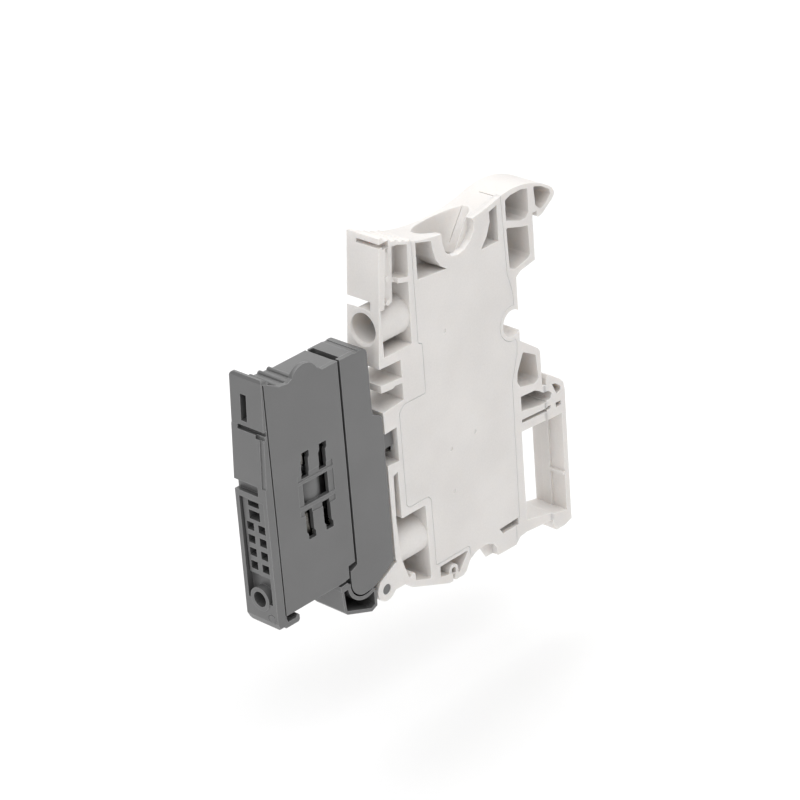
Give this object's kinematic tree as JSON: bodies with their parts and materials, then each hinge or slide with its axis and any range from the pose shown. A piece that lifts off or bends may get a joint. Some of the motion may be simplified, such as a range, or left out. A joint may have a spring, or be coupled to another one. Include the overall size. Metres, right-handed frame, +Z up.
{
  "type": "cartridge fuse holder",
  "caption": "Rail mounted cartridge fuse terminal: light housing with screw clamps and a dark hinged lever that carries the fuse.",
  "frame": {"origin": "centre of the 35 mm rail on the plane where its flanges seat, in the middle of the thickness", "axes": "+X from the operator towards the rail, +Y across the 8 mm pitch from the covered side to the closed side, +Z up"},
  "size_m": [0.0778, 0.0078, 0.0759],
  "materials": {
    "light_housing": "fine satin moulding, light warm grey",
    "light_cover": "fine satin moulding, light warm grey",
    "light_foot": "fine satin moulding, light warm grey",
    "dark_block": "fine matt moulding, dark grey",
    "dark_block_cover": "fine matt moulding, dark grey",
    "dark_lever": "fine matt moulding, dark grey",
    "dark_lever_cover": "fine matt moulding, dark grey",
    "tinned_copper": "tin plated copper",
    "spring_steel": "bright spring steel",
    "zinc_screw": "zinc plated steel",
    "zinc_cage": "zinc plated steel",
    "silvered_clip": "silver plated copper alloy",
    "nickel_cap": "nickel plated brass cap",
    "fuse_glass": "clear glass",
    "fuse_element": "tinned wire"
  },
  "bodies": {
    "body": {"housing": "light_housing", "side_cover": "light_cover", "contact_block": "dark_block", "contact_block_cover": "dark_block_cover", "busbar_upper": "tinned_copper", "busbar_lower": "tinned_copper", "fork_spring_upper": "spring_steel", "fork_spring_lower": "spring_steel"},
    "lever": {"lever_frame": "dark_lever", "lever_cover": "dark_lever_cover", "fuse_clip_upper": "silvered_clip", "fuse_clip_lower": "silvered_clip", "fuse_tube": "fuse_glass", "fuse_wire": "fuse_element", "fuse_cap_upper": "nickel_cap", "fuse_cap_lower": "nickel_cap"},
    "foot": {"rail_foot": "light_foot"},
    "screw_upper": {"clamp_screw_upper": "zinc_screw"},
    "cage_upper": {"clamp_cage_upper": "zinc_cage"},
    "screw_lower": {"clamp_screw_lower": "zinc_screw"},
    "cage_lower": {"clamp_cage_lower": "zinc_cage"}
  },
  "joints": [
    {"name": "lever_pivot", "type": "hinge", "parent": "body", "child": "lever", "pos_m": [-0.0444, 0, -0.0403], "axis": [0, -1, 0], "range_deg": [0, 90]},
    {"name": "foot_snap", "type": "slide", "parent": "body", "child": "foot", "axis": [0, 0, -1], "range_m": [0, 0.0012], "stiffness_N_per_m": 9000},
    {"name": "screw_turn_upper", "type": "hinge", "parent": "body", "child": "screw_upper", "pos_m": [-0.028, 0, 0.0096], "axis": [1, 0, 0], "range_deg": [0, 2100.01]},
    {"name": "cage_close_upper", "type": "slide", "parent": "body", "child": "cage_upper", "axis": [-1, 0, 0], "range_m": [0, 0.0035]},
    {"name": "screw_turn_lower", "type": "hinge", "parent": "body", "child": "screw_lower", "pos_m": [-0.028, 0, -0.0348], "axis": [1, 0, 0], "range_deg": [0, 2100.01]},
    {"name": "cage_close_lower", "type": "slide", "parent": "body", "child": "cage_lower", "axis": [-1, 0, 0], "range_m": [0, 0.0035]}
  ],
  "couplings": [
    {"joint": "screw_turn_upper", "follows": "cage_close_upper", "rad_per_m": 10472},
    {"joint": "screw_turn_lower", "follows": "cage_close_lower", "rad_per_m": 10472}
  ]
}
